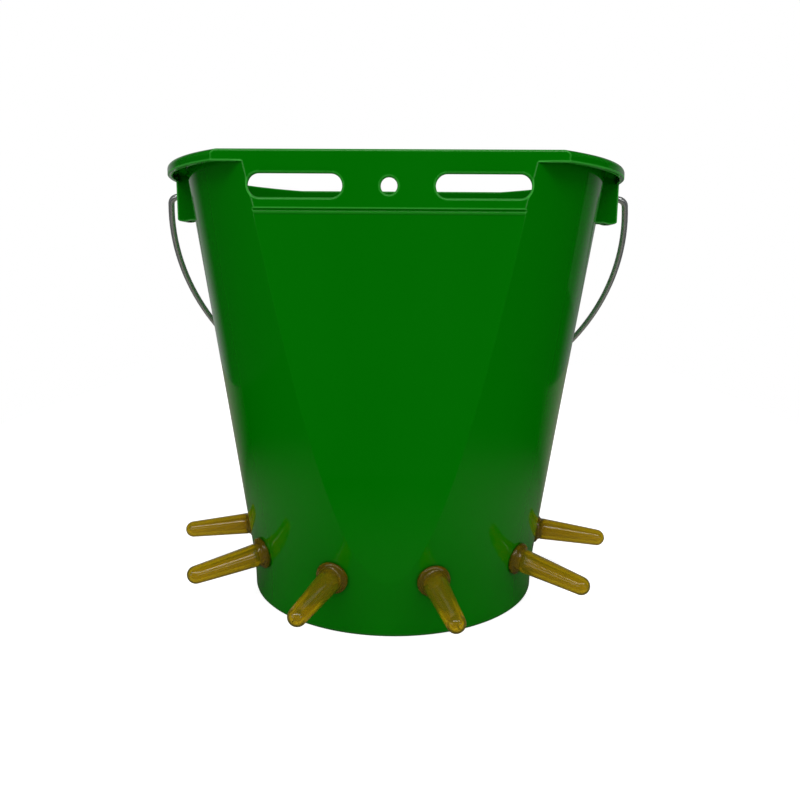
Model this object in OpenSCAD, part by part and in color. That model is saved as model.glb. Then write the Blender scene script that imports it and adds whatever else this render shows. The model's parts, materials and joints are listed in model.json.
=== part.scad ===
// Multi teat lamb feeder: a moulded bucket that hangs on a hurdle by a flat panel, with rubber
// teats through its lower wall, a ball valve in each teat and a wire bail in two ears.
// Millimetres. +Z is up, the origin is the middle of the foot, and the front panel faces -Y.

/* [Bucket] */
// Height from the foot to the top of the rim
bucket_h = 270; // [230:1:330]
// Outside diameter of the wall at the foot
foot_d = 184.6; // [170:0.2:222]
// Outside diameter that the wall reaches at the top of the rim
mouth_d = 257.6; // [230:0.2:310]
// Thickness of the wall and of the panels
wall_t = 2.5; // [2:0.1:3.2]
// Thickness of the floor
floor_t = 3; // [2:0.1:5]
// Height of the foot ring under the floor
foot_ring_h = 4; // [2:0.5:8]
// Thickness of the foot ring
foot_ring_t = 3.4; // [2.5:0.1:5]

/* [Hanging panels] */
// Height at which the panels run out into the round wall
panel_toe_z = 34; // [25:1:60]
// How far the plates at the top lie inside the round wall's radius at the rim
plate_inset = 25.3; // [18:0.1:32]
// Height of the slotted plate at the top of each panel
plate_h = 30; // [28:0.5:40]
// How far the plate stands out from the panel under it
plate_step = 0.75; // [0.4:0.05:2]
// Height of the slope between the panel and the plate
plate_ramp_h = 3; // [1:0.5:6]
// Distance from the rim down to the middle of the slots and of the hanging hole
slot_drop = 18; // [16:0.5:22]
// Length of a hanging slot from end to end
slot_len = 49; // [30:0.5:60]
// Height of a hanging slot
slot_h = 12; // [8:0.5:14]
// Distance between the middles of a plate's two slots
slot_spacing = 97; // [80:0.5:110]
// Diameter of the hanging hole between the slots
hang_hole_d = 8.6; // [5:0.1:12]

/* [Rim flange] */
// How far the flange stands out from the wall's radius at the rim
flange_reach = 12.4; // [9:0.1:18]
// Height of the flange's outer face
flange_h = 6.2; // [5:0.1:12]
// Thickness of the flange's top and of its skirt
flange_t = 2.6; // [2:0.1:3.5]
// Radius of the flange's top outer edge
flange_round = 3; // [1:0.1:4]

/* [Bail ears] */
// Width of an ear from front to back
ear_w = 14; // [12:0.5:36]
// Distance from the rim down to the ear's lowest edge
ear_drop = 30.5; // [28:0.5:45]
// Thickness of the ear's outer tab, which holds the wire
ear_tab_t = 4.5; // [3:0.1:6]
// Thickness of the two ribs that join the tab to the wall
ear_rib_t = 2.6; // [2:0.1:4]
// How much higher the ribs end than the tab
ear_rib_lift = 0.8; // [0.5:0.1:6]
// Radius of the tab's two lower corners
ear_corner_r = 2; // [1:0.5:8]
// How far the tab lies inside the flange's outer edge
ear_inset = 0.6; // [0.5:0.1:3]
// Distance from the rim down to the bail's pivot
pivot_drop = 14.5; // [12:0.5:20]

/* [Bail] */
// Diameter of the wire
wire_d = 4; // [3:0.1:5]
// How far the bail's big arc has its centre below the pivot
bail_drop = 37.5; // [25:0.5:60]
// Radius of the wire's bends at the ears, to the middle of the wire
bend_r = 6; // [5:0.5:12]
// Straight wire between the ear's face and the bend
bend_standoff = 0.95; // [0.6:0.05:4]
// How far the head that keeps a wire end in its ear stands out from the wire
wire_head_reach = 1.2; // [0.7:0.1:2]
// Thickness of that head
wire_head_t = 1.6; // [1:0.1:2.5]

/* [Teats] */
// Number of teats, spread evenly about the front
teat_count = 6; // [2:2:6]
// Angle from one teat to the next
teat_pitch = 36; // [30:1:36]
// Angle by which teat 2 sits off its even place
teat_2_turn = -0.9; // [-3:0.1:3]
// Angle by which teat 3 sits off its even place
teat_3_turn = -1.1; // [-3:0.1:3]
// Angle by which teat 4 sits off its even place
teat_4_turn = -2.2; // [-3:0.1:3]
// Height of the teats' holes on the outside of the wall
teat_z = 35; // [28:0.5:42]
// Length of a teat outside the wall
teat_len = 49; // [40:0.5:60]
// Thickness of the neck's rubber, between the wall's hole and the valve
neck_wall = 1.8; // [1.4:0.1:2.4]
// How far the collar outside the wall reaches past the hole
collar_reach = 3.4; // [2.2:0.1:4.5]
// Thickness of the collar
collar_t = 3.2; // [2:0.1:5]
// Radius of the collar's outer edge
collar_round = 1.1; // [0.5:0.1:1.5]
// Thickness of the rubber where the teat leaves the collar
root_wall = 2.75; // [2.2:0.05:3.6]
// Radius of the hollow corner between the collar and the teat
root_fillet = 0.8; // [0.4:0.1:1]
// Diameter of the round tip
tip_d = 10.8; // [9:0.1:12.5]
// Thickness of the rubber at the tip
tip_wall = 2.4; // [1.8:0.1:2.9]
// Diameter of the milk hole in the tip
milk_hole_d = 1.2; // [0.8:0.1:2]
// How far the lip inside the wall reaches past the hole
lip_reach = 2.5; // [1.5:0.1:3.5]
// How far the lip's inner end reaches past the hole
lip_end_reach = 0.8; // [0.3:0.1:1.4]
// Thickness of the lip
lip_t = 4.5; // [3:0.1:6]

/* [Valves] */
// Diameter of the ball
ball_d = 5; // [4.1:0.1:6.2]
// How far the ball moves between its cage and its seat
ball_travel = 2; // [1:0.1:3]
// Thickness of the tube round the ball's chamber, which spreads the neck
chamber_wall = 1.7; // [1.2:0.1:2.2]
// How far the valve's flange on the lip's inner end stands out from the tube
valve_flange_reach = 1.4; // [0.8:0.1:2]
// Thickness of that flange
valve_flange_t = 1.6; // [1:0.1:2.5]
// Diameter of the inlet throat
throat_d = 3.2; // [2.4:0.1:3.9]
// Length of the inlet throat
throat_l = 2.5; // [1.8:0.1:4]
// Thickness of the cage at the outlet
cage_t = 1.6; // [1:0.1:2.5]
// Width of the two crossed slots in the cage
cage_slot_w = 1.4; // [1:0.1:1.8]

/* [Clearances] */
// Radial clearance of the wire in its ear
pivot_clear = 0.08; // [0.02:0.01:0.1]
// Gap between the wire's head and the ear
head_gap = 0.4; // [0.3:0.1:1]
// Gap between the hanging bail and the back of the bucket
bail_rest_gap = 0.35; // [0.3:0.05:1]
// Gap between the rubber and what it is squeezed against
rubber_gap = 0.05; // [0.02:0.01:0.1]
// Radial room for the ball in its chamber
ball_side_gap = 0.4; // [0.3:0.05:0.6]
// Gap between the ball and its seat or cage at the ends of its travel
ball_gap = 0.3; // [0.2:0.05:0.5]

/* [Hidden] */
$fn = 64;
arc_steps = 8;
cut_over = 1;

bucket_colour = "#0a6a0a";
wire_colour = "#b9bcbd";
latex_colour = "#8f7016";
valve_colour = "#e8e6dc";
ball_colour = "#f4f3ee";

// Wall: a cone whose radius grows evenly from the foot to the rim
wall_slope = (mouth_d - foot_d) / 2 / bucket_h;
wall_angle = atan(wall_slope);
wall_in = wall_t / cos(wall_angle);
floor_z = foot_ring_h + floor_t;
function wall_r_at(z) = foot_d / 2 + wall_slope * z;

// Panel: a plane that leans out from its toe on the round wall to the foot of its plate
plate_y = mouth_d / 2 - plate_inset;
plate_z = bucket_h - plate_h;
ramp_z = plate_z - plate_ramp_h / 2;
ramp_top_z = plate_z + plate_ramp_h / 2;
panel_lean = (plate_y - plate_step - wall_r_at(panel_toe_z)) / (ramp_z - panel_toe_z);
panel_angle = atan(panel_lean);
panel_in = wall_t / cos(panel_angle);
function panel_y_at(z) = wall_r_at(panel_toe_z) + panel_lean * (z - panel_toe_z);

// Rim, ears and pivot
flange_r = mouth_d / 2 + flange_reach;
flange_under_z = bucket_h - flange_h;
ear_face_x = flange_r - ear_inset;
ear_tab_x = ear_face_x - ear_tab_t;
ear_z = bucket_h - ear_drop;
ear_top_z = bucket_h - flange_t / 2;
ear_root_x = wall_r_at(ear_z) - wall_in - ear_rib_t;
pivot_z = bucket_h - pivot_drop;

// Bail: each bend is tangent to the wire in the ear and to the big arc
wire_r = wire_d / 2;
wire_head_r = wire_r + wire_head_reach;
bend_x = ear_face_x + bend_standoff;
bail_r = bend_r + norm([bend_x, bail_drop - bend_r]);
bend_angle = atan2(bail_drop - bend_r, bend_x);
// Bending leaves the wire a hair thicker there, and the bend laps the arc's end by a few degrees
bend_swell = 0.06;
bend_lap = 3;

// Gap between the wire and the wall at an angle round the big arc, with the bail tilted back
function wire_gap(turn, tilt) =
    let (
        reach = bail_drop + bail_r * sin(turn),
        y = reach * sin(tilt),
        z = pivot_z - reach * cos(tilt),
        off_wall = (norm([bail_r * cos(turn), y]) - wall_r_at(z)) * cos(wall_angle),
        off_panel = (y - panel_y_at(z)) * cos(panel_angle)
    )
    max(off_wall, off_panel) - wire_r;
function least_gap(tilt) = min([for (turn = [0 : 1 : 90]) wire_gap(turn, tilt)]);
// Tilt at which the hanging bail comes to rest on the back, found by halving
function rest_tilt(low, high, halvings) =
    halvings == 0 ? high
    : let (middle = (low + high) / 2)
      least_gap(middle) < bail_rest_gap
      ? rest_tilt(middle, high, halvings - 1)
      : rest_tilt(low, middle, halvings - 1);
bail_tilt = rest_tilt(10, 80, 16);

// Valve, teat and hole are sized from the ball outwards
ball_r = ball_d / 2;
throat_r = throat_d / 2;
chamber_r = ball_r + ball_side_gap;
valve_r = chamber_r + chamber_wall;
valve_flange_r = valve_r + valve_flange_reach;
bore_r = valve_r + rubber_gap;
neck_r = bore_r + neck_wall;
neck_hole_r = neck_r + rubber_gap;
collar_r = neck_hole_r + collar_reach;
root_r = bore_r + root_wall;
tip_r = tip_d / 2;
lip_r = neck_hole_r + lip_reach;
lip_end_r = neck_hole_r + lip_end_reach;

// Teat, along its own axis from the outside of the wall
teat_r = wall_r_at(teat_z);
collar_sink = collar_r * collar_r / teat_r;
root_u = collar_t + root_fillet;
tip_u = teat_len - tip_r;
taper = atan2(root_r, tip_u - root_u) - asin(tip_r / norm([root_r, tip_u - root_u]));
lip_u = -(wall_t + lip_t);
teat_turns = [0, teat_2_turn, teat_3_turn, teat_4_turn, 0, 0];
function teat_azimuth(i) = (i - (teat_count + 1) / 2) * teat_pitch + teat_turns[i - 1];

// Valve, along the same axis: throat, cone seat at 45 degrees, ball chamber, cage
inlet_u = lip_u - valve_flange_t;
seat_u = inlet_u + throat_l;
seat_end_u = seat_u + chamber_r - throat_r;
seated_u = seat_u - throat_r + (ball_r + ball_gap) * sqrt(2);
ball_u = seated_u + ball_travel;
cage_u = ball_u + ball_r + ball_gap;
valve_end_u = cage_u + cage_t;

// Points along an arc, with both ends
function arc(x, y, r, from, to) =
    [for (k = [0 : arc_steps]) let (a = from + (to - from) * k / arc_steps) [x + r * cos(a), y + r * sin(a)]];

// Children placed on a teat's axis, with their +Z pointing out of the wall
module on_teat_axis(i) {
    rotate([0, 0, teat_azimuth(i)])
        translate([0, -teat_r, teat_z])
            rotate([90 + wall_angle, 0, 0])
                children();
}

// Children and their mirror image in the YZ plane
module both_sides() {
    children();
    mirror([1, 0, 0]) children();
}

// The round wall's solid cone, moved out by a given amount
module wall_cone(out, from_z, to_z) {
    translate([0, 0, from_z])
        cylinder(h = to_z - from_z, r1 = wall_r_at(from_z) + out, r2 = wall_r_at(to_z) + out);
}

// A prism along X whose outline in Y and Z is given for the rear half only
module between_panels(half) {
    whole = concat(half, [for (k = [len(half) - 1 : -1 : 0]) [-half[k][0], half[k][1]]]);
    rotate([90, 0, 90])
        linear_extrude(flange_r * 2 + cut_over, center = true)
            polygon(whole);
}

// Outside of the bucket: the cone cut flat by the two panels and their plates
module bucket_outside() {
    intersection() {
        wall_cone(0, 0, bucket_h);
        between_panels([
            [panel_y_at(-cut_over), -cut_over],
            [panel_y_at(ramp_z), ramp_z],
            [plate_y, ramp_top_z],
            [plate_y, bucket_h + cut_over]
        ]);
    }
}

// Space for the milk
module bucket_inside() {
    intersection() {
        wall_cone(-wall_in, floor_z, bucket_h + cut_over);
        between_panels([
            [panel_y_at(-cut_over) - panel_in, -cut_over],
            [panel_y_at(ramp_z) - panel_in, ramp_z],
            [panel_y_at(ramp_z) - panel_in, bucket_h + cut_over]
        ]);
    }
}

// Rim flange: a disc with a rounded top edge, cut by the plates and hollow underneath
module rim_flange() {
    edge = concat(
        [[0, flange_under_z], [flange_r, flange_under_z]],
        arc(flange_r - flange_round, bucket_h - flange_round, flange_round, 0, 90),
        [[0, bucket_h]]
    );
    difference() {
        intersection() {
            rotate_extrude() polygon(edge);
            translate([-flange_r, -plate_y, flange_under_z - cut_over])
                cube([flange_r * 2, plate_y * 2, flange_h + cut_over * 2]);
        }
        intersection() {
            translate([0, 0, flange_under_z - cut_over])
                cylinder(h = flange_h - flange_t + cut_over, r = flange_r - flange_t);
            translate([-flange_r, flange_t - plate_y, flange_under_z - cut_over])
                cube([flange_r * 2, (plate_y - flange_t) * 2, flange_h + cut_over]);
        }
    }
}

// Bail ear on the +X side: an outer tab on two ribs, open underneath
module ear() {
    tab_side = ear_w / 2 - ear_corner_r;
    translate([ear_tab_x, 0, 0])
        rotate([90, 0, 90])
            linear_extrude(ear_tab_t)
                union() {
                    translate([-ear_w / 2, ear_z + ear_corner_r])
                        square([ear_w, ear_top_z - ear_z - ear_corner_r]);
                    translate([-tab_side, ear_z])
                        square([tab_side * 2, ear_corner_r * 2]);
                    for (side = [-1, 1])
                        translate([side * tab_side, ear_z + ear_corner_r])
                            circle(ear_corner_r);
                }
    for (y = [-ear_w / 2, ear_w / 2 - ear_rib_t])
        translate([ear_root_x, y, ear_z + ear_rib_lift])
            cube([ear_tab_x - ear_root_x, ear_rib_t, ear_top_z - ear_z - ear_rib_lift]);
}

// Slot and hole outlines of a plate, drawn in X and Z
module plate_openings() {
    slot_half = (slot_len - slot_h) / 2;
    circle(d = hang_hole_d);
    for (x = [-slot_spacing / 2, slot_spacing / 2])
        translate([x, 0]) {
            square([slot_half * 2, slot_h], center = true);
            for (end = [-slot_half, slot_half])
                translate([end, 0]) circle(d = slot_h);
        }
}

// Moulded bucket with its panels, flange, ears and the holes for the teats
module bucket_shell() {
    color(bucket_colour)
        difference() {
            union() {
                bucket_outside();
                rim_flange();
                both_sides() ear();
            }
            bucket_inside();
            translate([0, 0, -cut_over])
                cylinder(h = foot_ring_h + cut_over, r = foot_d / 2 - foot_ring_t);
            translate([0, 0, bucket_h - slot_drop])
                rotate([90, 0, 0])
                    linear_extrude(mouth_d, center = true)
                        plate_openings();
            both_sides()
                translate([ear_tab_x - cut_over, 0, pivot_z])
                    rotate([0, 90, 0])
                        cylinder(h = ear_tab_t + cut_over * 2, r = wire_r + pivot_clear);
            for (i = [1 : teat_count])
                on_teat_axis(i)
                    translate([0, 0, -wall_t - cut_over])
                        cylinder(h = wall_t + cut_over * 2, r = neck_hole_r);
        }
}

// Bent wire bail, hanging at the back of the bucket
module bail_wire() {
    head_x = ear_tab_x - head_gap - wire_head_t;
    color(wire_colour)
        translate([0, 0, pivot_z])
            rotate([90 + bail_tilt, 0, 0]) {
                translate([0, -bail_drop, 0])
                    rotate([0, 0, 180 - bend_angle])
                        rotate_extrude(angle = 180 + 2 * bend_angle)
                            translate([bail_r, 0]) circle(wire_r);
                both_sides() {
                    translate([bend_x, -bend_r, 0])
                        rotate([0, 0, bend_angle - bend_lap])
                            rotate_extrude(angle = 90 - bend_angle + bend_lap)
                                translate([bend_r, 0]) circle(wire_r + bend_swell);
                    translate([head_x, 0, 0])
                        rotate([0, 90, 0]) {
                            cylinder(h = bend_x - head_x, r = wire_r);
                            cylinder(h = wire_head_t, r = wire_head_r);
                        }
                }
            }
}

// Outside of a teat: collar, hollow corner, taper and round tip
module teat_outside() {
    outline = concat(
        [[0, -collar_sink], [collar_r, -collar_sink]],
        arc(collar_r - collar_round, collar_t - collar_round, collar_round, 0, 90),
        arc(root_r + root_fillet, root_u, root_fillet, 270, 180),
        arc(0, tip_u, tip_r, taper, 90)
    );
    rotate_extrude() polygon(outline);
}

// Inside of a teat: a straight stretch that the valve fills, then a taper to the tip
module teat_bore() {
    outline = concat(
        [[0, lip_u - cut_over], [bore_r, lip_u - cut_over], [bore_r, valve_end_u + ball_gap]],
        arc(0, tip_u, tip_r - tip_wall, 0, 90)
    );
    rotate_extrude() polygon(outline);
    translate([0, 0, tip_u])
        cylinder(h = tip_r + cut_over, d = milk_hole_d);
}

// Latex teat: the collar and the lip follow the curved wall, and the neck joins them
module teat(i) {
    z_room = collar_r * 2;
    color(latex_colour)
        difference() {
            union() {
                difference() {
                    on_teat_axis(i) teat_outside();
                    wall_cone(rubber_gap, teat_z - z_room, teat_z + z_room);
                }
                intersection() {
                    on_teat_axis(i)
                        translate([0, 0, lip_u])
                            cylinder(h = -lip_u, r1 = lip_end_r, r2 = lip_r);
                    wall_cone(-wall_in - rubber_gap, teat_z - z_room, teat_z + z_room);
                }
                on_teat_axis(i)
                    translate([0, 0, lip_u])
                        cylinder(h = -lip_u + collar_t, r = neck_r);
            }
            on_teat_axis(i) teat_bore();
        }
}

// Passage through a valve: inlet throat, cone seat and ball chamber, in one turned outline
module valve_passage() {
    rotate_extrude()
        polygon([
            [0, inlet_u - cut_over],
            [throat_r, inlet_u - cut_over],
            [throat_r, seat_u],
            [chamber_r, seat_end_u],
            [chamber_r, cage_u],
            [0, cage_u]
        ]);
}

// Plastic insert with the inlet throat, the ball's seat and chamber, and the cage
module valve_body(i) {
    color(valve_colour)
        on_teat_axis(i)
            difference() {
                rotate_extrude()
                    polygon([
                        [0, inlet_u],
                        [valve_flange_r, inlet_u],
                        [valve_flange_r, inlet_u + valve_flange_t],
                        [valve_r, inlet_u + valve_flange_t],
                        [valve_r, valve_end_u],
                        [0, valve_end_u]
                    ]);
                valve_passage();
                for (turn = [0, 90])
                    rotate([0, 0, turn])
                        translate([-chamber_r, -cage_slot_w / 2, cage_u])
                            cube([chamber_r * 2, cage_slot_w, cage_t + cut_over]);
            }
}

// Ball at rest in the cage, where the tilt of the teat lets it roll
module valve_ball(i) {
    color(ball_colour)
        on_teat_axis(i)
            translate([0, 0, ball_u])
                sphere(ball_r);
}

bucket_shell();
bail_wire();
for (i = [1 : teat_count]) {
    teat(i);
    valve_body(i);
    valve_ball(i);
}
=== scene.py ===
import json
import math

import bmesh
import bpy
from mathutils import Matrix, Vector


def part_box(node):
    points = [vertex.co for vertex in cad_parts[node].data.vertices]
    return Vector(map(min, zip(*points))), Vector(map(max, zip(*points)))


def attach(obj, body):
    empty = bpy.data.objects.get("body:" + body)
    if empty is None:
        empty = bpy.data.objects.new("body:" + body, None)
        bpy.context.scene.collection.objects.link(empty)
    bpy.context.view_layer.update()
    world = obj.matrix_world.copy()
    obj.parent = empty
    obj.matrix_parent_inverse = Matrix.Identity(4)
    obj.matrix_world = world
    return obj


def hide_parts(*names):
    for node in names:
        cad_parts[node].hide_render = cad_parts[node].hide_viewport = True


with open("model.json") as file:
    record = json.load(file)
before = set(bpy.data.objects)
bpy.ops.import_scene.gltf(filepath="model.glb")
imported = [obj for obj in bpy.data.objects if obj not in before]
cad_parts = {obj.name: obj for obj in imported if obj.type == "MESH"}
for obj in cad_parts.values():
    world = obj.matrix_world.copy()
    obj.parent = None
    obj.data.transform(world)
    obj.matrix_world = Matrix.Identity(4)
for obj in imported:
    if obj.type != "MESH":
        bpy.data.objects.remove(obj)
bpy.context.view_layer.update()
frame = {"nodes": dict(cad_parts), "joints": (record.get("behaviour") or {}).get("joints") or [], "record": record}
mounts = {mount["name"]: mount for mount in frame["record"]["mounts"]}
joints = {joint["name"]: joint for joint in frame["joints"]}

# Bucket: one injection moulding in green polypropylene. A cone that two hanging panels cut flat, each with
# a slotted plate at its top; a flange, hollow underneath, stiffens the rim and a ring carries the foot.
rim_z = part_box("bucket_shell")[1].z
flange_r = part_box("bucket_shell")[1].x
plate_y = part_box("bucket_shell")[1].y
foot_r = 0.0923
wall_slope = 0.135185
wall_t = 0.0025
panel_toe_z = 0.034
panel_lean = 0.02862
plate_ramp_z = 0.2385
plate_ramp_h = 0.003
plate_foot = ((0.2378, 0), (0.2381, 0.5), (0.2391, 0.5), (0.2393, 0), (0.2402, 0), (0.2405, 1))
plate_foot_round = 0.0001
plate_t = 0.00325
floor_z = 0.007
floor_round = 0.004
foot_ring_h = 0.004
foot_ring_t = 0.0034
flange_h = 0.0062
flange_t = 0.0026
flange_round = 0.003
plate_round = 0.0012
mouth_round = 0.0008
hollow_fade, skirt_fade, skirt_edge = 0.002, 0.004, 0.0005
rim_steps, mouth_steps, floor_steps = 9, 4, 6
smooth_angle = math.radians(35)
panel_blend, plate_blend, rim_corner_blend = 0.00012, 0.0003, 0.00025
panel_columns, gap_columns, side_columns = 14, 12, 26
corner_shares = (-2, -1, -0.5, 0, 0.5, 1, 2)
least_crease = math.radians(8)
flange_corner_x = 0.0915
flange_spread = (flange_r ** 2 - flange_corner_x ** 2 - plate_y ** 2) / 2 / (flange_r - flange_corner_x)
rim_corner = math.atan2(flange_corner_x, plate_y)
rim_corner_half = rim_corner_blend / flange_r / math.tan(rim_corner)
side_swell = 0.0018
foot_band_h, foot_band_out = 0.03, 0.002


def wall_r(z):
    """The cone's radius; the lowest band of the wall turns upright towards the foot."""
    return foot_r + wall_slope * z + foot_band_out * max(1 - z / foot_band_h, 0) ** 2


def side_x(z):
    """Half the wall's width from side to side: above the panels' toes it swells a little past the cone."""
    return wall_r(z) + side_swell * (max(z - panel_toe_z, 0) / (rim_z - panel_toe_z)) ** 1.6


def wall_spread(z):
    """How far the centres of the two side arcs lie from the middle, so that the panel keeps its width."""
    lean_y = wall_r(panel_toe_z) + panel_lean * (z - panel_toe_z)
    crease_x = math.sqrt(max(wall_r(z) ** 2 - lean_y ** 2, 0)) if z > panel_toe_z else 0
    return (side_x(z) ** 2 - wall_r(z) ** 2) / 2 / (side_x(z) - crease_x)


def panel_y(z):
    """The panel's distance from the middle, with a soft groove and a low bead at the plate's foot."""
    def sharp(at):
        lean_y = wall_r(panel_toe_z) + panel_lean * (min(at, plate_foot[0][0]) - panel_toe_z)
        rise = 0 if at < plate_foot[0][0] else 1
        for (low_z, low), (high_z, high) in zip(plate_foot, plate_foot[1:]):
            if low_z <= at < high_z:
                rise = low + (high - low) * (at - low_z) / (high_z - low_z)
        return lean_y + (plate_y - lean_y) * rise
    return sum(sharp(z + share * plate_foot_round) for share in (-1, -0.5, 0, 0.5, 1)) / 5


def inner_panel_y(z):
    return wall_r(panel_toe_z) - wall_t + panel_lean * (min(z, plate_ramp_z) - panel_toe_z)


def soft_min(a, b, blend):
    near = max(blend - abs(a - b), 0) / blend
    return min(a, b) - near * near * blend / 4


def crease_blend(z):
    """The crease beside the panel is almost sharp, and a little rounder beside the plate."""
    return panel_blend + (plate_blend - panel_blend) * min(max((z - plate_ramp_z) / plate_ramp_h, 0), 1)


def column_angles(arc_r, flat_y, spread, blend, corner=rim_corner):
    """A ring's points as angles from the front, close together at the panel's and the rim's corners."""
    crease_x = spread + math.sqrt(max(arc_r ** 2 - flat_y ** 2, 0))
    crease = max(math.atan2(crease_x, flat_y), least_crease)
    half = blend / arc_r / math.tan(crease)
    start, end = crease + half * 2, corner - rim_corner_half * 2
    quarter = [math.atan(math.tan(crease - half * 2) * k / panel_columns) for k in range(panel_columns)]
    quarter += [crease + half * share for share in corner_shares]
    quarter += [start + (end - start) * (k + 1) / (gap_columns + 1) for k in range(gap_columns)]
    quarter += [corner + rim_corner_half * share for share in corner_shares]
    start, end = corner + rim_corner_half * 2, math.pi / 2
    quarter += [start + (end - start) * (k + 1) / side_columns for k in range(side_columns)]
    half_turn = quarter + [math.pi - angle for angle in quarter[-2::-1]]
    return half_turn + [math.tau - angle for angle in half_turn[-2:0:-1]]


def ring_at(angles, radii, heights):
    return [(r * math.sin(a), -r * math.cos(a), z) for a, r, z in zip(angles, radii, heights)]


def cut_flat(angles, arc_r, flat_y, spread, blend):
    """Radii of an outline of two side arcs that the panels cut flat, with its corners a little rounded."""
    radii = []
    for angle in angles:
        across = spread * math.cos(angle)
        arc = spread * abs(math.sin(angle)) + math.sqrt(arc_r ** 2 - across ** 2)
        radii.append(soft_min(arc, flat_y / max(abs(math.cos(angle)), 1e-6), blend))
    return radii


def bucket_ring(z, arc_r, flat_y, spread=0):
    angles = column_angles(arc_r, flat_y, spread, crease_blend(z))
    return ring_at(angles, cut_flat(angles, arc_r, flat_y, spread, crease_blend(z)), [z] * len(angles))


def wall_ring(z, flat_y, inset=0):
    return bucket_ring(z, side_x(z) - wall_spread(z) - inset, flat_y, wall_spread(z))


def sort_parts(piece):
    """Extruding leaves edges and faces in a chance order, so they are put in the order of their corners."""
    mesh = bmesh.from_edit_mesh(piece.data)
    mesh.verts.index_update()
    for parts in (mesh.edges, mesh.faces):
        corners = [sorted(vert.index for vert in part.verts) for part in parts]
        parts.index_update()
        parts.sort(key=lambda part: corners[part.index][0] * len(mesh.verts) + corners[part.index][-1])
        parts.index_update()
    bmesh.update_edit_mesh(piece.data)


def loft(name, rings, fill_ends=True):
    """A circle is extruded ring by ring, and each new ring is laid on its outline."""
    bpy.ops.object.select_all(action="DESELECT")
    bpy.ops.mesh.primitive_circle_add(vertices=len(rings[0]), radius=flange_r)
    piece = bpy.context.object
    piece.name = piece.data.name = name
    bpy.ops.object.mode_set(mode="EDIT")
    mesh = bmesh.from_edit_mesh(piece.data)
    column = mesh.verts.layers.int.new("column")
    for k, vert in enumerate(mesh.verts):
        vert[column] = k
        vert.co = rings[0][k]
    for ring in rings[1:]:
        bpy.ops.mesh.extrude_edges_move()
        mesh = bmesh.from_edit_mesh(piece.data)
        column = mesh.verts.layers.int["column"]
        for vert in mesh.verts:
            if vert.select:
                vert.co = ring[vert[column]]
    if fill_ends:
        bpy.ops.mesh.edge_face_add()
        bpy.ops.mesh.select_all(action="DESELECT")
        mesh = bmesh.from_edit_mesh(piece.data)
        mesh.verts.ensure_lookup_table()
        for vert in mesh.verts[:len(rings[0])]:
            vert.select = True
        mesh.select_flush(True)
        bpy.ops.mesh.edge_face_add()
    mesh = bmesh.from_edit_mesh(piece.data)
    mesh.verts.layers.int.remove(mesh.verts.layers.int["column"])
    bpy.ops.mesh.select_all(action="SELECT")
    bpy.ops.mesh.remove_doubles(threshold=0.00001)
    bpy.ops.mesh.normals_make_consistent(inside=False)
    sort_parts(piece)
    bpy.ops.object.mode_set(mode="OBJECT")
    return piece


# The rings run from the middle of the underside round the foot ring, up the outside and back down the inside.
no_cut = flange_r
cap_r = 0.02
foot_out = wall_r(0)
ring_in = foot_r - foot_ring_t
foot_rings = [(cap_r, foot_ring_h), (ring_in - 0.0015, foot_ring_h), (ring_in - 0.0004, foot_ring_h - 0.0004),
              (ring_in, foot_ring_h - 0.0015), (ring_in, 0.0006), (ring_in + 0.0006, 0),
              (foot_out - 0.0014, 0), (foot_out - 0.0007, 0.0002), (foot_out - 0.0002, 0.0007),
              (wall_r(0.0014), 0.0014)]
rings = [bucket_ring(z, r, no_cut) for r, z in foot_rings]

outer_mm = (4, 10, 16, 22, 27, 30, 32, 33, 34, 35, 36.5, 38.5, 41, 44, 48, 53, 60, 68, 78, 90, 104, 120, 138,
            157, 176, 195, 213, 228, 235, 237.3, 237.6, 237.72, 237.82, 237.95, 238.07, 238.17, 238.4, 238.8,
            239.02, 239.1, 239.2, 239.3, 239.4, 239.7, 240.02, 240.12, 240.25, 240.38, 240.48, 240.6, 241.2,
            242.7, 245, 250, 257, 261.5)
rings += [wall_ring(mm / 1000, panel_y(mm / 1000)) for mm in outer_mm]

# The rim's rings keep the columns of the wall under them, so that they meet it where the panel has no flange.
under_z = rim_z - flange_h
under_spread = wall_spread(under_z)
under_r = side_x(under_z) - under_spread
flange_arc_r = flange_r - flange_spread
rim_angles = column_angles(under_r, plate_y, under_spread, plate_blend)
wall_radii = cut_flat(rim_angles, under_r, plate_y, under_spread, plate_blend)
edge_radii = cut_flat(rim_angles, flange_arc_r, plate_y, flange_spread, rim_corner_blend)
hollow_radii = cut_flat(rim_angles, flange_arc_r - flange_t, plate_y - flange_t, flange_spread,
                        rim_corner_blend)
hollow_radii = [max(hollow, wall) for hollow, wall in zip(hollow_radii, wall_radii)]
hollow_z = [under_z + (flange_h - flange_t) * min(max((hollow - wall) / hollow_fade, 0), 1)
            for hollow, wall in zip(hollow_radii, wall_radii)]
roof_radii = [wall + wall_slope * (z - under_z) for wall, z in zip(wall_radii, hollow_z)]
under = [under_z] * len(rim_angles)
skirt_round = [skirt_edge * min(max((edge - wall) / skirt_fade, 0), 1)
               for edge, wall in zip(edge_radii, wall_radii)]
rings += [ring_at(rim_angles, wall_radii, under),
          ring_at(rim_angles, roof_radii, hollow_z),
          ring_at(rim_angles, hollow_radii, hollow_z),
          ring_at(rim_angles, hollow_radii, under),
          ring_at(rim_angles, [edge - cut for edge, cut in zip(edge_radii, skirt_round)], under),
          ring_at(rim_angles, edge_radii, [under_z + cut for cut in skirt_round])]
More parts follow.
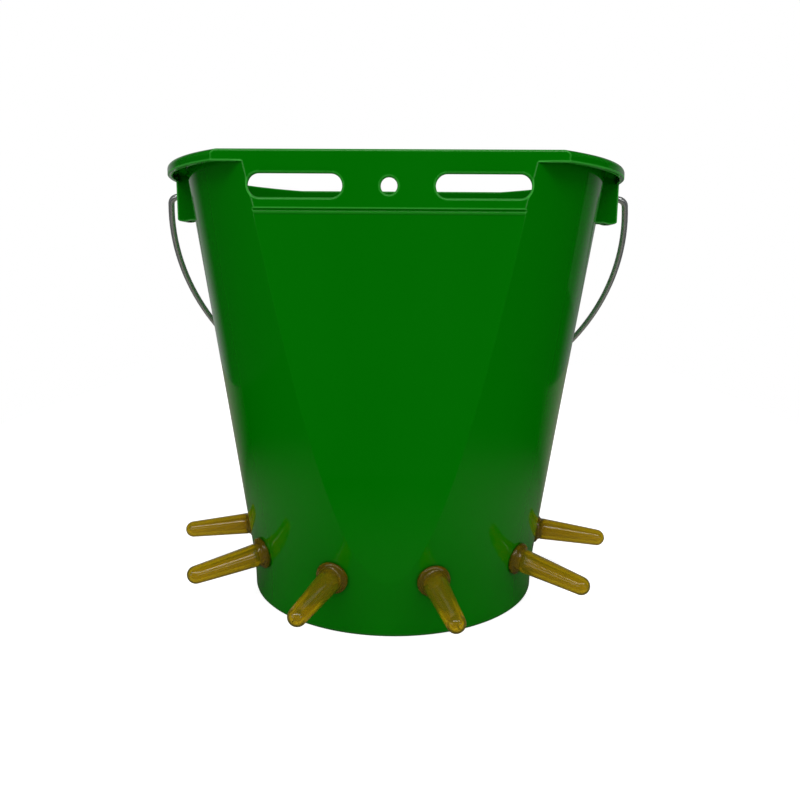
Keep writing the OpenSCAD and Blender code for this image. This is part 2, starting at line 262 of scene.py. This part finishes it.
for step in range(rim_steps + 1):
    turn = math.pi / 2 * step / rim_steps
    z = rim_z - flange_round * (1 - math.sin(turn))
    plate_turn = math.asin(max(1 - (rim_z - z) / plate_round, 0))
    arc_r = flange_arc_r - flange_round * (1 - math.cos(turn))
    flat_y = plate_y - plate_round * (1 - math.cos(plate_turn))
    corner = math.atan2(flange_spread + math.sqrt(arc_r ** 2 - flat_y ** 2), flat_y)
    angles = column_angles(under_r, plate_y, under_spread, plate_blend, corner)
    radii = cut_flat(angles, arc_r, flat_y, flange_spread, rim_corner_blend)
    rings.append(ring_at(angles, radii, [z] * len(angles)))

wall_in = wall_t / math.cos(math.atan(wall_slope))
for step in range(mouth_steps + 1):
    turn = math.pi / 2 * step / mouth_steps
    out, down = mouth_round * (1 - math.sin(turn)), mouth_round * (1 - math.cos(turn))
    rings.append(wall_ring(rim_z - down, plate_y - plate_t + out, wall_in - out))
inner_mm = (266, 258, 248, 240, 238.5, 236, 225, 210, 192, 174, 156, 138, 120, 104, 90, 78, 68, 60, 53, 48,
            44, 41, 38.5, 36.5, 35, 34, 33, 31, 27, 22, 17, 13)
rings += [wall_ring(mm / 1000, inner_panel_y(mm / 1000), wall_in) for mm in inner_mm]
for step in range(floor_steps + 1):
    turn = math.pi / 2 * step / floor_steps
    floor_r = wall_r(floor_z + floor_round) - wall_in - floor_round * (1 - math.cos(turn))
    rings.append(bucket_ring(floor_z + floor_round * (1 - math.sin(turn)), floor_r, no_cut))
rings.append(bucket_ring(floor_z, cap_r, no_cut))
bucket = loft("bucket", rings)

# Ears: two lugs moulded under the flange for the bail, each an outer tab on two ribs, open underneath.
# They are drawn as one block, cut to the tab's side view, hollowed and softened, then grown into the wall.
pivot = Vector(joints["bail_swing"]["pos_m"])
ear_half = 0.007
ear_rib_t = 0.0026
ear_corner_r, ear_edge_r = 0.0006, 0.0004
ear_z = 0.2395
ear_top_z = 0.2687
ear_tab_x, ear_face_x = 0.1361, 0.1406
ear_bottom = [(0.1315, 0.2403), (0.1325, 0.24024), (0.1334, 0.24005), (0.1342, 0.2398), (0.1350, 0.2396),
              (0.1359, 0.23951), (0.1370, 0.2395), (0.1383, 0.23955), (0.1392, 0.2397), (0.1399, 0.24),
              (0.1404, 0.24045), (ear_face_x, 0.241)]
ear_bore_r = 0.00208


def boolean(piece, tool, operation):
    modifier = piece.modifiers.new("boolean", "BOOLEAN")
    modifier.operation, modifier.solver, modifier.object = operation, "EXACT", tool
    bpy.context.view_layer.objects.active = piece
    bpy.ops.object.modifier_apply(modifier=modifier.name)
    bpy.data.objects.remove(tool)


def prism_x(name, outline, xs):
    return loft(name, [[(x, y, z) for y, z in outline] for x in xs])


def arc_points(y, z, r, start, end, steps=8):
    turns = [math.radians(start + (end - start) * k / steps) for k in range(steps + 1)]
    return [(y + r * math.cos(turn), z + r * math.sin(turn)) for turn in turns]


root_sink = wall_t * 0.6
ear_outline = [(side_x(ear_bottom[0][1]) - root_sink, ear_bottom[0][1])] + ear_bottom
ear_outline += [(ear_face_x, ear_top_z), (side_x(ear_top_z) - root_sink, ear_top_z)]
ear = loft("ear", [[(x, y, z) for x, z in ear_outline] for y in (-ear_half, ear_half)])
tab_side = arc_points(ear_half - ear_corner_r, ear_z + ear_corner_r, ear_corner_r, 0, -90)
tab_side += arc_points(ear_corner_r - ear_half, ear_z + ear_corner_r, ear_corner_r, -90, -180)
tab_side += [(-ear_half, rim_z * 1.1), (ear_half, rim_z * 1.1)]
boolean(ear, prism_x("ear_side", tab_side, (foot_r, flange_r)), "INTERSECT")
pocket_y, pocket_z, pocket_top_z = ear_half - ear_rib_t, ear_z / 2, rim_z - flange_t
pocket = [(-pocket_y, pocket_z), (pocket_y, pocket_z), (pocket_y, pocket_top_z), (-pocket_y, pocket_top_z)]
boolean(ear, prism_x("ear_pocket", pocket, (foot_r, ear_tab_x)), "DIFFERENCE")
edges = ear.modifiers.new("edges", "BEVEL")
edges.width, edges.segments = ear_edge_r, 2
edges.limit_method, edges.angle_limit = "ANGLE", math.radians(40)
bpy.context.view_layer.objects.active = ear
bpy.ops.object.modifier_apply(modifier=edges.name)
bpy.ops.object.select_all(action="DESELECT")
ear.select_set(True)
bpy.ops.object.mode_set(mode="EDIT")
bpy.ops.mesh.select_all(action="SELECT")
bpy.ops.mesh.remove_doubles(threshold=0.00002)
bpy.ops.mesh.quads_convert_to_tris()
bpy.ops.object.mode_set(mode="OBJECT")
far_ear = bpy.data.objects.new("far_ear", ear.data.copy())
bpy.context.scene.collection.objects.link(far_ear)
far_ear.data.transform(Matrix.Scale(-1, 4, (1, 0, 0)))
far_ear.data.flip_normals()
boolean(bucket, ear, "UNION")
boolean(bucket, far_ear, "UNION")

# Openings: each plate has two long slots and a hole to hang it on rails or a hook, with the soft edges of
# the mould's cores; six round holes in the lower wall take the teats and one in each ear takes the bail.
slots = mounts["front_slots"]
slot_z = slots["pos_m"][2]
slot_r = slots["dims"]["hole_r_mm"] / 1000
slot_half = slots["dims"]["slot_length_mm"] / 2000 - slot_r
slot_x = slots["dims"]["spacing_x_mm"] / 2000
hang_r = mounts["front_hang_hole"]["dims"]["r_mm"] / 1000
slot_round, slot_back_round = 0.0012, 0.0005
core_overrun = 0.006
core_face_share = math.cos(math.radians(14))
bore_span = (-0.0105, 0.0035)
teat_z = 0.035
teat_hole_r = 0.0065
teat_axes = [-Vector(joints[f"ball_{i}_lift"]["axis"]) for i in range(1, 7)]


def plate_cutter(name, x, half, r, facing):
    """A core through a plate: its outline grows at both faces, which leaves the edges rounded."""
    steps = []
    for degrees in (8, 30, 50, 70, 90):
        turn = math.radians(degrees)
        steps.append((slot_round * (core_face_share - math.cos(turn)), slot_round * (1 - math.sin(turn))))
    for degrees in (90, 65, 40, 10):
        turn = math.radians(degrees)
        steps.append((plate_t - slot_back_round * (core_face_share - math.cos(turn)),
                      slot_back_round * (1 - math.sin(turn))))
    steps = [(-core_overrun, steps[0][1])] + steps + [(plate_t + core_overrun, steps[-1][1])]
    rings = []
    for depth, grow in steps:
        outline = arc_points(x + half, slot_z, r + grow, -90, 90, 20)
        outline += arc_points(x - half, slot_z, r + grow, 90, 270, 20)
        rings.append([(px, facing * (plate_y - depth), pz) for px, pz in outline])
    return loft(name, rings)


def teat_frame(axis):
    """The place on the wall where a teat sits, with X level along the wall and Z along the teat."""
    outward = Vector((axis.x, axis.y, 0)).normalized()
    level = Vector((-outward.y, outward.x, 0))
    turned = Matrix((level, axis.cross(level), axis)).transposed().to_4x4()
    return Matrix.Translation(outward * wall_r(teat_z) + Vector((0, 0, teat_z))) @ turned


def round_ring(r, z, count=32):
    return [(r * math.cos(math.tau * k / count), r * math.sin(math.tau * k / count), z) for k in range(count)]


cutters = []
for facing in (-1, 1):
    cutters += [plate_cutter("slot_core", x, slot_half, slot_r, facing) for x in (-slot_x, slot_x)]
    cutters.append(plate_cutter("hang_core", 0, 0, hang_r, facing))
for axis in teat_axes:
    core = loft("teat_core", [round_ring(teat_hole_r, z) for z in (-wall_t * 3, wall_t * 3)])
    core.data.transform(teat_frame(axis))
    cutters.append(core)
for side in (-1, 1):
    core = loft("bore_core", [round_ring(ear_bore_r, z) for z in bore_span])
    outward = Matrix.Rotation(side * math.pi / 2, 4, "Y")
    core.data.transform(Matrix.Translation((side * ear_face_x, 0, pivot.z)) @ outward)
    cutters.append(core)
bpy.ops.object.select_all(action="DESELECT")
for core in cutters:
    core.select_set(True)
bpy.context.view_layer.objects.active = cutters[0]
bpy.ops.object.join()
boolean(bucket, cutters[0], "DIFFERENCE")
bpy.ops.object.select_all(action="DESELECT")
bucket.select_set(True)
bpy.context.view_layer.objects.active = bucket
bpy.ops.object.shade_smooth_by_angle(angle=smooth_angle)
plate_z = plate_ramp_z + plate_ramp_h
plates = bucket.vertex_groups.new(name="plates")
on_plate = [vert.index for vert in bucket.data.vertices
            if abs(vert.co.y) > plate_y - plate_t * 1.5 and vert.co.z > plate_z]
plates.add(on_plate, 1, "REPLACE")
flat = bucket.modifiers.new("flat", "WEIGHTED_NORMAL")
flat.keep_sharp, flat.weight, flat.vertex_group = True, 80, "plates"
bpy.ops.object.modifier_apply(modifier=flat.name)
bucket.vertex_groups.clear()


def linear(colour):
    """An sRGB hex colour as the linear values that the nodes take."""
    parts = [int(colour[k:k + 2], 16) / 255 for k in (1, 3, 5)]
    return [p / 12.92 if p <= 0.04045 else ((p + 0.055) / 1.055) ** 2.4 for p in parts] + [1]


def add_node(tree, kind, inputs=None, **settings):
    """A node with its settings; a socket among the inputs is linked, and anything else is set there."""
    node = tree.nodes.new(kind)
    for name, value in settings.items():
        setattr(node, name, value)
    for name, value in (inputs or {}).items():
        if isinstance(value, bpy.types.NodeSocket):
            tree.links.new(value, node.inputs[name])
        else:
            node.inputs[name].default_value = value
    return node


def new_material(name):
    material = bpy.data.materials.new(name)
    material.use_nodes = True
    tree = material.node_tree
    return material, tree, tree.nodes["Principled BSDF"]


# Moulded polypropylene: deep green right through, glossy from the polished mould. The eye gets a clear but
# slightly wavy reflection, faint flow streaks, edges that are dulled and lit by a painted highlight of paler
# green, most of all round the rim, painted shade in the corners and grooves, and a foot that the ground has
# scuffed.
plastic, tree, shader = new_material("moulded_polypropylene")
place = add_node(tree, "ShaderNodeTexCoord").outputs["Object"]
flow_mm, wave_mm, peel_mm, scuff_mm = 70, 34, 1.6, 1.1
flow_place = add_node(tree, "ShaderNodeMapping", {"Vector": place, "Scale": (1, 1, 0.35)})
flow = add_node(tree, "ShaderNodeTexNoise", {"Vector": flow_place.outputs[0], "Scale": 1000 / flow_mm,
                                             "Detail": 3})
body = add_node(tree, "ShaderNodeMix", {0: flow.outputs[0], 6: linear("#006700"), 7: linear("#006e00")},
                data_type="RGBA")
height = add_node(tree, "ShaderNodeSeparateXYZ", {0: place}).outputs["Z"]
scuff = add_node(tree, "ShaderNodeTexNoise", {"Vector": place, "Scale": 1000 / scuff_mm, "Detail": 4})
near_foot = add_node(tree, "ShaderNodeMapRange", {"Value": height, "From Min": 0, "From Max": 0.0022,
                                                  "To Min": 0.35, "To Max": 0})
scuffed = add_node(tree, "ShaderNodeMath", {0: scuff.outputs[0], 1: near_foot.outputs[0]},
                   operation="MULTIPLY")
worn = add_node(tree, "ShaderNodeMix", {0: scuffed.outputs[0], 6: body.outputs[2], 7: linear("#5f9a5c")},
                data_type="RGBA")
# Painted highlight: convex edges, found by ambient occlusion from inside, are painted paler green, most near the
# plate and rim; the same mask also raises their roughness.
rim_wear_and_highlight = add_node(tree, "ShaderNodeMapRange", {"Value": height, "From Min": 0.236, "From Max": 0.2425,
                                                "To Min": 0.1, "To Max": 1})
ridge = add_node(tree, "ShaderNodeAmbientOcclusion", {"Distance": 0.001}, samples=8, inside=True)
edge = add_node(tree, "ShaderNodeMapRange", {"Value": ridge.outputs["AO"], "From Min": 0.97, "From Max": 0.86,
                                             "To Min": 0, "To Max": rim_wear_and_highlight.outputs[0]})
edge_highlighted = add_node(tree, "ShaderNodeMix", {0: edge.outputs[0], 6: worn.outputs[2], 7: linear("#2fa82d")},
                  data_type="RGBA")
# Painted shade: corners, grooves and the foot where it meets the ground, found by ambient occlusion from outside,
# are painted darker green.
corner = add_node(tree, "ShaderNodeAmbientOcclusion", {"Distance": 0.0025}, samples=8)
crease_shade = add_node(tree, "ShaderNodeMapRange", {"Value": corner.outputs["AO"], "From Min": 0.9, "From Max": 0.45,
                                             "To Min": 0, "To Max": 0.5})
crease_shaded = add_node(tree, "ShaderNodeMix", {0: crease_shade.outputs[0], 6: edge_highlighted.outputs[2], 7: linear("#003a03")},
                 data_type="RGBA")
gloss = add_node(tree, "ShaderNodeMapRange", {"Value": flow.outputs[0], "From Min": 0.3, "From Max": 0.7,
                                              "To Min": 0.05, "To Max": 0.1})
scratched = add_node(tree, "ShaderNodeMath", {0: edge.outputs[0], 1: 0.35, 2: scuffed.outputs[0]},
                     operation="MULTIPLY_ADD")
dulled = add_node(tree, "ShaderNodeMath", {0: gloss.outputs[0], 1: scratched.outputs[0]}, operation="ADD")
wave = add_node(tree, "ShaderNodeTexNoise", {"Vector": place, "Scale": 1000 / wave_mm, "Detail": 1})
wavy = add_node(tree, "ShaderNodeBump", {"Height": wave.outputs[0], "Strength": 0.12, "Distance": 0.0015})
peel = add_node(tree, "ShaderNodeTexNoise", {"Vector": place, "Scale": 1000 / peel_mm, "Detail": 2})
peeled = add_node(tree, "ShaderNodeBump", {"Height": peel.outputs[0], "Strength": 0.02, "Distance": 0.0003,
                                           "Normal": wavy.outputs[0]})
tree.links.new(crease_shaded.outputs[2], shader.inputs["Base Color"])
tree.links.new(dulled.outputs[0], shader.inputs["Roughness"])
tree.links.new(peeled.outputs[0], shader.inputs["Normal"])
shader.inputs["IOR"].default_value = 1.49
bucket.data.materials.clear()
bucket.data.materials.append(plastic)
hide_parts("bucket_shell")
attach(bucket, "bucket")

# Bail: the bucket's handle, one length of 4 mm galvanised steel wire. It is bent to a wide bow with a tight
# bend at each ear, pushed through the ear from outside and peened over so that it can't pull out.
wire_r = 0.002
bail_drop, bail_tilt = 0.0375, math.radians(33.4967)
bend_r, bend_x = 0.006, 0.14155
head_start, head_len = 0.1341, 0.0016
head_end = head_start + head_len
bend_steps, bow_steps, wire_columns = 12, 96, 20
bend_end = math.atan2(bail_drop - bend_r, bend_x)
bow_r = bend_r + math.hypot(bend_x, bail_drop - bend_r)
head_rings = [(0, 0.0022), (0.0002, 0.0028), (0.0006, 0.00315), (0.0010, 0.0032), (0.0014, 0.0030),
              (head_len, wire_r)]
line = [((head_start + along, 0), math.pi / 2, r) for along, r in head_rings]
line += [((head_end + (bend_x - head_end) * k / 4, 0), math.pi / 2, wire_r) for k in range(1, 4)]
for k in range(bend_steps + 1):
    turn = math.pi / 2 + (bend_end - math.pi / 2) * k / bend_steps
    line.append(((bend_x + bend_r * math.cos(turn), bend_r * math.sin(turn) - bend_r), turn, wire_r))
bow = []
for k in range(1, bow_steps):
    turn = bend_end - (math.pi + 2 * bend_end) * k / bow_steps
    bow.append(((bow_r * math.cos(turn), bow_r * math.sin(turn) - bail_drop), turn, wire_r))
line += bow + [((-x, y), math.pi - turn, r) for (x, y), turn, r in reversed(line)]
wire_rings = []
for (x, y), turn, r in line:
    ring = []
    for out, across, _ in round_ring(r, 0, wire_columns):
        ring.append((x + out * math.cos(turn), y + out * math.sin(turn), across))
    wire_rings.append(ring)
bail = loft("bail", wire_rings)
bail.data.transform(Matrix.Translation(pivot) @ Matrix.Rotation(math.pi / 2 + bail_tilt, 4, "X"))
bpy.ops.object.shade_smooth_by_angle(angle=smooth_angle)

# Galvanised steel wire: drawn, then dipped in zinc. A bright grey metal with a soft sheen, a faint mottle
# of zinc spangle and a few duller patches.
steel, tree, shader = new_material("galvanised_steel_wire")
place = add_node(tree, "ShaderNodeTexCoord").outputs["Object"]
spangle_mm, patch_mm = 2.5, 14
spangle = add_node(tree, "ShaderNodeTexNoise", {"Vector": place, "Scale": 1000 / spangle_mm, "Detail": 3})
patches = add_node(tree, "ShaderNodeTexNoise", {"Vector": place, "Scale": 1000 / patch_mm, "Detail": 2})
zinc = add_node(tree, "ShaderNodeMix", {0: patches.outputs[0], 6: linear("#c2c6c4"), 7: linear("#e2e5e4")},
                data_type="RGBA")
dull = add_node(tree, "ShaderNodeMapRange", {"Value": spangle.outputs[0], "To Min": 0.14, "To Max": 0.24})
rough = add_node(tree, "ShaderNodeBump", {"Height": spangle.outputs[0], "Strength": 0.1, "Distance": 0.0002})
tree.links.new(zinc.outputs[2], shader.inputs["Base Color"])
tree.links.new(dull.outputs[0], shader.inputs["Roughness"])
tree.links.new(rough.outputs[0], shader.inputs["Normal"])
shader.inputs["Metallic"].default_value = 0.8
bail.data.materials.clear()
bail.data.materials.append(steel)
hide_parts("bail_wire")
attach(bail, "bail")

# Teats: dipped amber latex, pulled through the wall from inside until the lip stops them, so that the wall
# sits between lip and collar. Each is hollow, with a milk hole in its tip, and leans a little its own way.
wall_gap = 0.00005
bore_r, neck_r = 0.00465, 0.00645
teat_tip_r, teat_len = 0.0054, 0.049
tip_u = teat_len - teat_tip_r
milk_hole_r = 0.0003
tip_wall = 0.0024
teat_columns, taper_steps, tip_steps = 40, 12, 8
inner_wall_u = -wall_t - wall_gap
body_u, body_r = 0.0054, 0.00712
taper = math.asin((body_r - teat_tip_r) / (tip_u - body_u))
# The section from the lip round the outside to the tip and back along the bore: radius, distance along the
# axis, and how far the ring there follows the round wall instead of lying flat
profile = [(bore_r, -0.0068, 0), (bore_r + 0.0002, -0.007, 0), (0.0068, -0.007, 0), (0.0072, -0.0068, 0),
           (0.00735, -0.0063, 0), (0.00800, -0.0037, 0.5), (0.00825, inner_wall_u - 0.0004, 1),
           (0.00795, inner_wall_u, 1), (neck_r, inner_wall_u, 1), (neck_r, wall_gap, 1), (0.0093, wall_gap, 1),
           (0.0097, wall_gap + 0.0003, 0.9), (0.00988, 0.0009, 0.6), (0.0098, 0.0016, 0.3),
           (0.0095, 0.0021, 0.1), (0.009, 0.0024, 0), (0.0084, 0.0027, 0), (0.0078, 0.0032, 0),
           (0.0074, 0.0038, 0), (0.0071, 0.0045, 0), (0.00692, 0.0049, 0), (0.0069, 0.00505, 0),
           (0.007, 0.0052, 0)]
profile += [(body_r + (teat_tip_r * math.cos(taper) - body_r) * k / taper_steps,
             body_u + (tip_u + teat_tip_r * math.sin(taper) - body_u) * k / taper_steps, 0)
            for k in range(taper_steps + 1)]
for k in range(1, tip_steps + 1):
    turn = taper + (math.acos(milk_hole_r * 1.5 / teat_tip_r) - taper) * k / tip_steps
    profile.append((teat_tip_r * math.cos(turn), tip_u + teat_tip_r * math.sin(turn), 0))
profile += [(milk_hole_r, teat_len - 0.0003, 0), (milk_hole_r, teat_len - tip_wall * 0.9, 0)]
tip_bore_r = teat_tip_r - tip_wall
profile += [(tip_bore_r * math.sin(math.radians(turn)), tip_u + tip_bore_r * math.cos(math.radians(turn)), 0)
            for turn in (35, 60, 90)]
profile += [(bore_r, 0.00296, 0), (bore_r, -0.0068, 0)]
teat_rings = []
for r, u, follow in profile:
    ring = round_ring(r, u, teat_columns)
    teat_rings.append([(x, y, z - follow * x * x / 2 / wall_r(teat_z)) for x, y, z in ring])
teat = loft("teat", teat_rings, fill_ends=False)
bpy.ops.object.shade_smooth_by_angle(angle=math.radians(40))
# The latex is thickest at the collar, so an attribute is 1 there and fades out where the body starts
collar_end, collar_fade = 0.0068, 0.0036
collar_shares = [min(max((collar_end - vert.co.z) / collar_fade, 0), 1) for vert in teat.data.vertices]
teat.data.attributes.new("collar", "FLOAT", "POINT").data.foreach_set("value", collar_shares)

# Latex: natural rubber, dipped and cured. Amber, clear enough to show what is behind it, with a soft satin
# gloss, and browner where it is thick.
latex, tree, shader = new_material("amber_latex")
place = add_node(tree, "ShaderNodeTexCoord").outputs["Object"]
cloud_mm, skin_mm = 9, 2.2
cloud = add_node(tree, "ShaderNodeTexNoise", {"Vector": place, "Scale": 1000 / cloud_mm, "Detail": 2})
skin = add_node(tree, "ShaderNodeTexNoise", {"Vector": place, "Scale": 1000 / skin_mm, "Detail": 1})
amber = add_node(tree, "ShaderNodeMix", {0: cloud.outputs[0], 6: linear("#d9c41e"), 7: linear("#e0cb28")},
                 data_type="RGBA")
collar = add_node(tree, "ShaderNodeAttribute", attribute_name="collar")
brown = add_node(tree, "ShaderNodeMix", {0: collar.outputs["Fac"], 6: amber.outputs[2], 7: linear("#b59a1a")},
                 data_type="RGBA")
satin = add_node(tree, "ShaderNodeMapRange", {"Value": skin.outputs[0], "To Min": 0.1, "To Max": 0.16})
soft = add_node(tree, "ShaderNodeBump", {"Height": skin.outputs[0], "Strength": 0.03, "Distance": 0.0003})
tree.links.new(brown.outputs[2], shader.inputs["Base Color"])
tree.links.new(satin.outputs[0], shader.inputs["Roughness"])
tree.links.new(soft.outputs[0], shader.inputs["Normal"])
shader.inputs["IOR"].default_value = 1.52
shader.inputs["Transmission Weight"].default_value = 0.84
thick = add_node(tree, "ShaderNodeVolumeAbsorption", {"Color": linear("#dace1c"), "Density": 500})
tree.links.new(thick.outputs[0], tree.nodes["Material Output"].inputs["Volume"])
teat.data.materials.clear()
teat.data.materials.append(latex)

# How far each tip leans from its axis: along the wall to the right, and up, in millimetres
tip_leans = [(0, 0.2), (2.0, 1.9), (0.8, 1.5), (-0.8, 0.8), (-2.4, 0.5), (0, -0.5)]
lean_power = 1.4
for i, (axis, lean) in enumerate(zip(teat_axes, tip_leans), 1):
    copy = bpy.data.objects.new(f"teat_{i}_latex", teat.data.copy())
    bpy.context.scene.collection.objects.link(copy)
    for vert in copy.data.vertices:
        share = max(vert.co.z - body_u, 0) / (teat_len - body_u)
        vert.co.x += lean[0] / 1000 * share ** lean_power
        vert.co.y += lean[1] / 1000 * share ** lean_power
    copy.data.transform(teat_frame(axis))
    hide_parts(f"teat_{i}")
    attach(copy, "bucket")
bpy.data.objects.remove(teat)

# Valves: an off-white polyethylene insert in each teat's neck, and the loose ball in it. Both keep the
# shape that they have in the frame.
insert, tree, shader = new_material("moulded_polyethylene")
place = add_node(tree, "ShaderNodeTexCoord").outputs["Object"]
grain_mm = 0.8
grain = add_node(tree, "ShaderNodeTexNoise", {"Vector": place, "Scale": 1000 / grain_mm, "Detail": 2})
milky = add_node(tree, "ShaderNodeMix", {0: grain.outputs[0], 6: linear("#dcd9cc"), 7: linear("#ebe9e0")},
                 data_type="RGBA")
waxy = add_node(tree, "ShaderNodeMapRange", {"Value": grain.outputs[0], "To Min": 0.38, "To Max": 0.52})
tree.links.new(milky.outputs[2], shader.inputs["Base Color"])
tree.links.new(waxy.outputs[0], shader.inputs["Roughness"])
for i in range(1, 7):
    for node in (f"valve_body_{i}", f"valve_ball_{i}"):
        frame["nodes"][node].data.materials.clear()
        frame["nodes"][node].data.materials.append(insert)

# Stage: a pale table under one long lamp above the camera, with two low lamps at the sides for the upright
# edges and a small card behind on the right. The camera sees white all round. Mirrored in a glossy surface,
# the room is grey behind the bucket's two sides and dark elsewhere, and the table is darker in the same way.
bpy.ops.object.select_all(action="DESELECT")
bpy.ops.mesh.primitive_plane_add(size=1)
table = bpy.context.object
table.name = "table"
table_half, table_front, table_back = 0.55, -0.38, 1.2
for vert in table.data.vertices:
    vert.co = (math.copysign(table_half, vert.co.x), table_front if vert.co.y < 0 else table_back, 0)
card, tree, shader = new_material("white_card")
shader.inputs["Base Color"].default_value = linear("#e4e4e4")
shader.inputs["Roughness"].default_value = 0.8
shader.inputs["Specular IOR Level"].default_value = 0.2
path = add_node(tree, "ShaderNodeLightPath")
lift = add_node(tree, "ShaderNodeEmission", {"Strength": 0.7})
place = add_node(tree, "ShaderNodeTexCoord").outputs["Object"]
parts = add_node(tree, "ShaderNodeSeparateXYZ", {0: place})
across = add_node(tree, "ShaderNodeMath", {0: parts.outputs["X"]}, operation="ABSOLUTE")
aside = add_node(tree, "ShaderNodeMapRange", {"Value": across.outputs[0], "From Min": 0.05, "From Max": 0.25,
                                              "To Min": 0.09, "To Max": 0.27},
                 interpolation_type="SMOOTHSTEP")
off = add_node(tree, "ShaderNodeVectorMath", {0: place}, operation="LENGTH")
grey = add_node(tree, "ShaderNodeMapRange", {"Value": off.outputs["Value"], "From Min": 0.16,
                                             "From Max": 0.38, "To Min": aside.outputs[0], "To Max": 0},
                interpolation_type="SMOOTHSTEP")
rearward = add_node(tree, "ShaderNodeMath", {0: parts.outputs["Y"], 1: off.outputs["Value"]},
                    operation="DIVIDE")
behind = add_node(tree, "ShaderNodeMapRange", {"Value": rearward.outputs[0], "From Min": 0.2,
                                               "From Max": 0.82, "To Min": 0, "To Max": 0.34},
                  interpolation_type="SMOOTHSTEP")
mirror_grey = add_node(tree, "ShaderNodeMath", {0: grey.outputs[0], 1: behind.outputs[0]},
                       operation="MAXIMUM")
warm = add_node(tree, "ShaderNodeMix", {0: 1, 6: mirror_grey.outputs[0], 7: linear("#fffbe6")},
                data_type="RGBA", blend_type="MULTIPLY")
shade = add_node(tree, "ShaderNodeBsdfDiffuse", {"Color": warm.outputs[2]})
mirrored = add_node(tree, "ShaderNodeMixShader", {0: path.outputs["Is Glossy Ray"], 1: shader.outputs[0],
                                                  2: shade.outputs[0]})
white = add_node(tree, "ShaderNodeAddShader", {0: shader.outputs[0], 1: lift.outputs[0]})
straight = add_node(tree, "ShaderNodeMath", {0: path.outputs["Is Camera Ray"],
                                             1: path.outputs["Is Transmission Ray"]}, operation="MAXIMUM")
seen = add_node(tree, "ShaderNodeMixShader", {0: straight.outputs[0], 1: mirrored.outputs[0],
                                              2: white.outputs[0]})
tree.links.new(seen.outputs[0], tree.nodes["Material Output"].inputs["Surface"])
table.data.materials.append(card)

# The room's level behind the bucket's sides as a glossy surface mirrors it, and how far the left outshines
# the right
room_level, left_lean = 0.28, 0.45
fill_level, fill_slant = 0.485, (0, -0.1, 0.24)
world = bpy.data.worlds.new("studio")
bpy.context.scene.world = world
world.use_nodes = True
tree = world.node_tree
background = tree.nodes["Background"]
direction = add_node(tree, "ShaderNodeTexCoord").outputs["Generated"]
parts = add_node(tree, "ShaderNodeSeparateXYZ", {0: direction})
corners = add_node(tree, "ShaderNodeMapRange", {"Value": parts.outputs["Y"], "From Min": 0.6, "From Max": 0.9,
                                                "To Min": 0.01, "To Max": room_level},
                   interpolation_type="SMOOTHSTEP")
middle = add_node(tree, "ShaderNodeMapRange", {"Value": parts.outputs["Y"], "From Min": 0.94, "From Max": 0.99,
                                               "To Min": 1, "To Max": 0.1}, interpolation_type="SMOOTHSTEP")
lean = add_node(tree, "ShaderNodeMath", {0: parts.outputs["X"], 1: -left_lean, 2: 1},
                operation="MULTIPLY_ADD")
wall = add_node(tree, "ShaderNodeMath", {0: corners.outputs[0], 1: middle.outputs[0]}, operation="MULTIPLY")
room = add_node(tree, "ShaderNodeMath", {0: wall.outputs[0], 1: lean.outputs[0]}, operation="MULTIPLY")
path = add_node(tree, "ShaderNodeLightPath")
clear = add_node(tree, "ShaderNodeMapRange", {"Value": parts.outputs["Y"], "From Min": 0.2, "From Max": 0.6,
                                              "To Min": 0.05, "To Max": 1}, interpolation_type="SMOOTHSTEP")
slant = add_node(tree, "ShaderNodeVectorMath", {0: direction, 1: fill_slant}, operation="DOT_PRODUCT")
fill = add_node(tree, "ShaderNodeMath", {0: slant.outputs["Value"], 1: fill_level}, operation="ADD")
mirrored = add_node(tree, "ShaderNodeMix", {0: path.outputs["Is Glossy Ray"], 2: fill.outputs[0],
                                            3: room.outputs[0]})
through = add_node(tree, "ShaderNodeMix", {0: path.outputs["Is Transmission Ray"], 2: mirrored.outputs[0],
                                           3: clear.outputs[0]})
level = add_node(tree, "ShaderNodeMix", {0: path.outputs["Is Camera Ray"], 2: through.outputs[0], 3: 1})
background.inputs["Color"].default_value = (1, 1, 1, 1)
tree.links.new(level.outputs[0], background.inputs["Strength"])
world.cycles.sampling_method = "NONE"


def softbox(name, place, aim, width, height, watts):
    data = bpy.data.lights.new(name, "AREA")
    data.shape, data.size, data.size_y, data.energy = "RECTANGLE", width, height, watts
    lamp = bpy.data.objects.new(name, data)
    bpy.context.scene.collection.objects.link(lamp)
    lamp.matrix_world = (Matrix.Translation(place)
                         @ (Vector(aim) - Vector(place)).to_track_quat("-Z", "Y").to_matrix().to_4x4())


bucket_middle, bucket_upper = (0, 0, 0.15), (0, 0, 0.2)
for side in (-1, 1):
    softbox("edge", (side * 0.75, -0.75, 0.27), bucket_upper, width=0.5, height=0.2, watts=0.4)
softbox("strip", (0, -0.85, 0.95), bucket_middle, width=2.0, height=0.2, watts=7)
softbox("card", (0.92, 0.77, 0.25), bucket_middle, width=0.5, height=0.4, watts=0.03)
bpy.context.scene.view_settings.view_transform = "Standard"

# Camera: the photograph's place and lens, a little above the middle of the bucket and looking slightly down.
camera_data = bpy.data.cameras.new("camera")
camera_data.sensor_width = 36
camera_data.lens = 33.54
camera = bpy.data.objects.new("camera", camera_data)
bpy.context.scene.collection.objects.link(camera)
camera_place = (0.0179, -0.49618, 0.20873)
yaw, pitch_down, roll = 0.028679, 0.1705, 0.0088
camera.matrix_world = (Matrix.Translation(camera_place) @ Matrix.Rotation(yaw, 4, "Z")
                       @ Matrix.Rotation(math.pi / 2 - pitch_down, 4, "X") @ Matrix.Rotation(roll, 4, "Z"))
bpy.context.scene.camera = camera
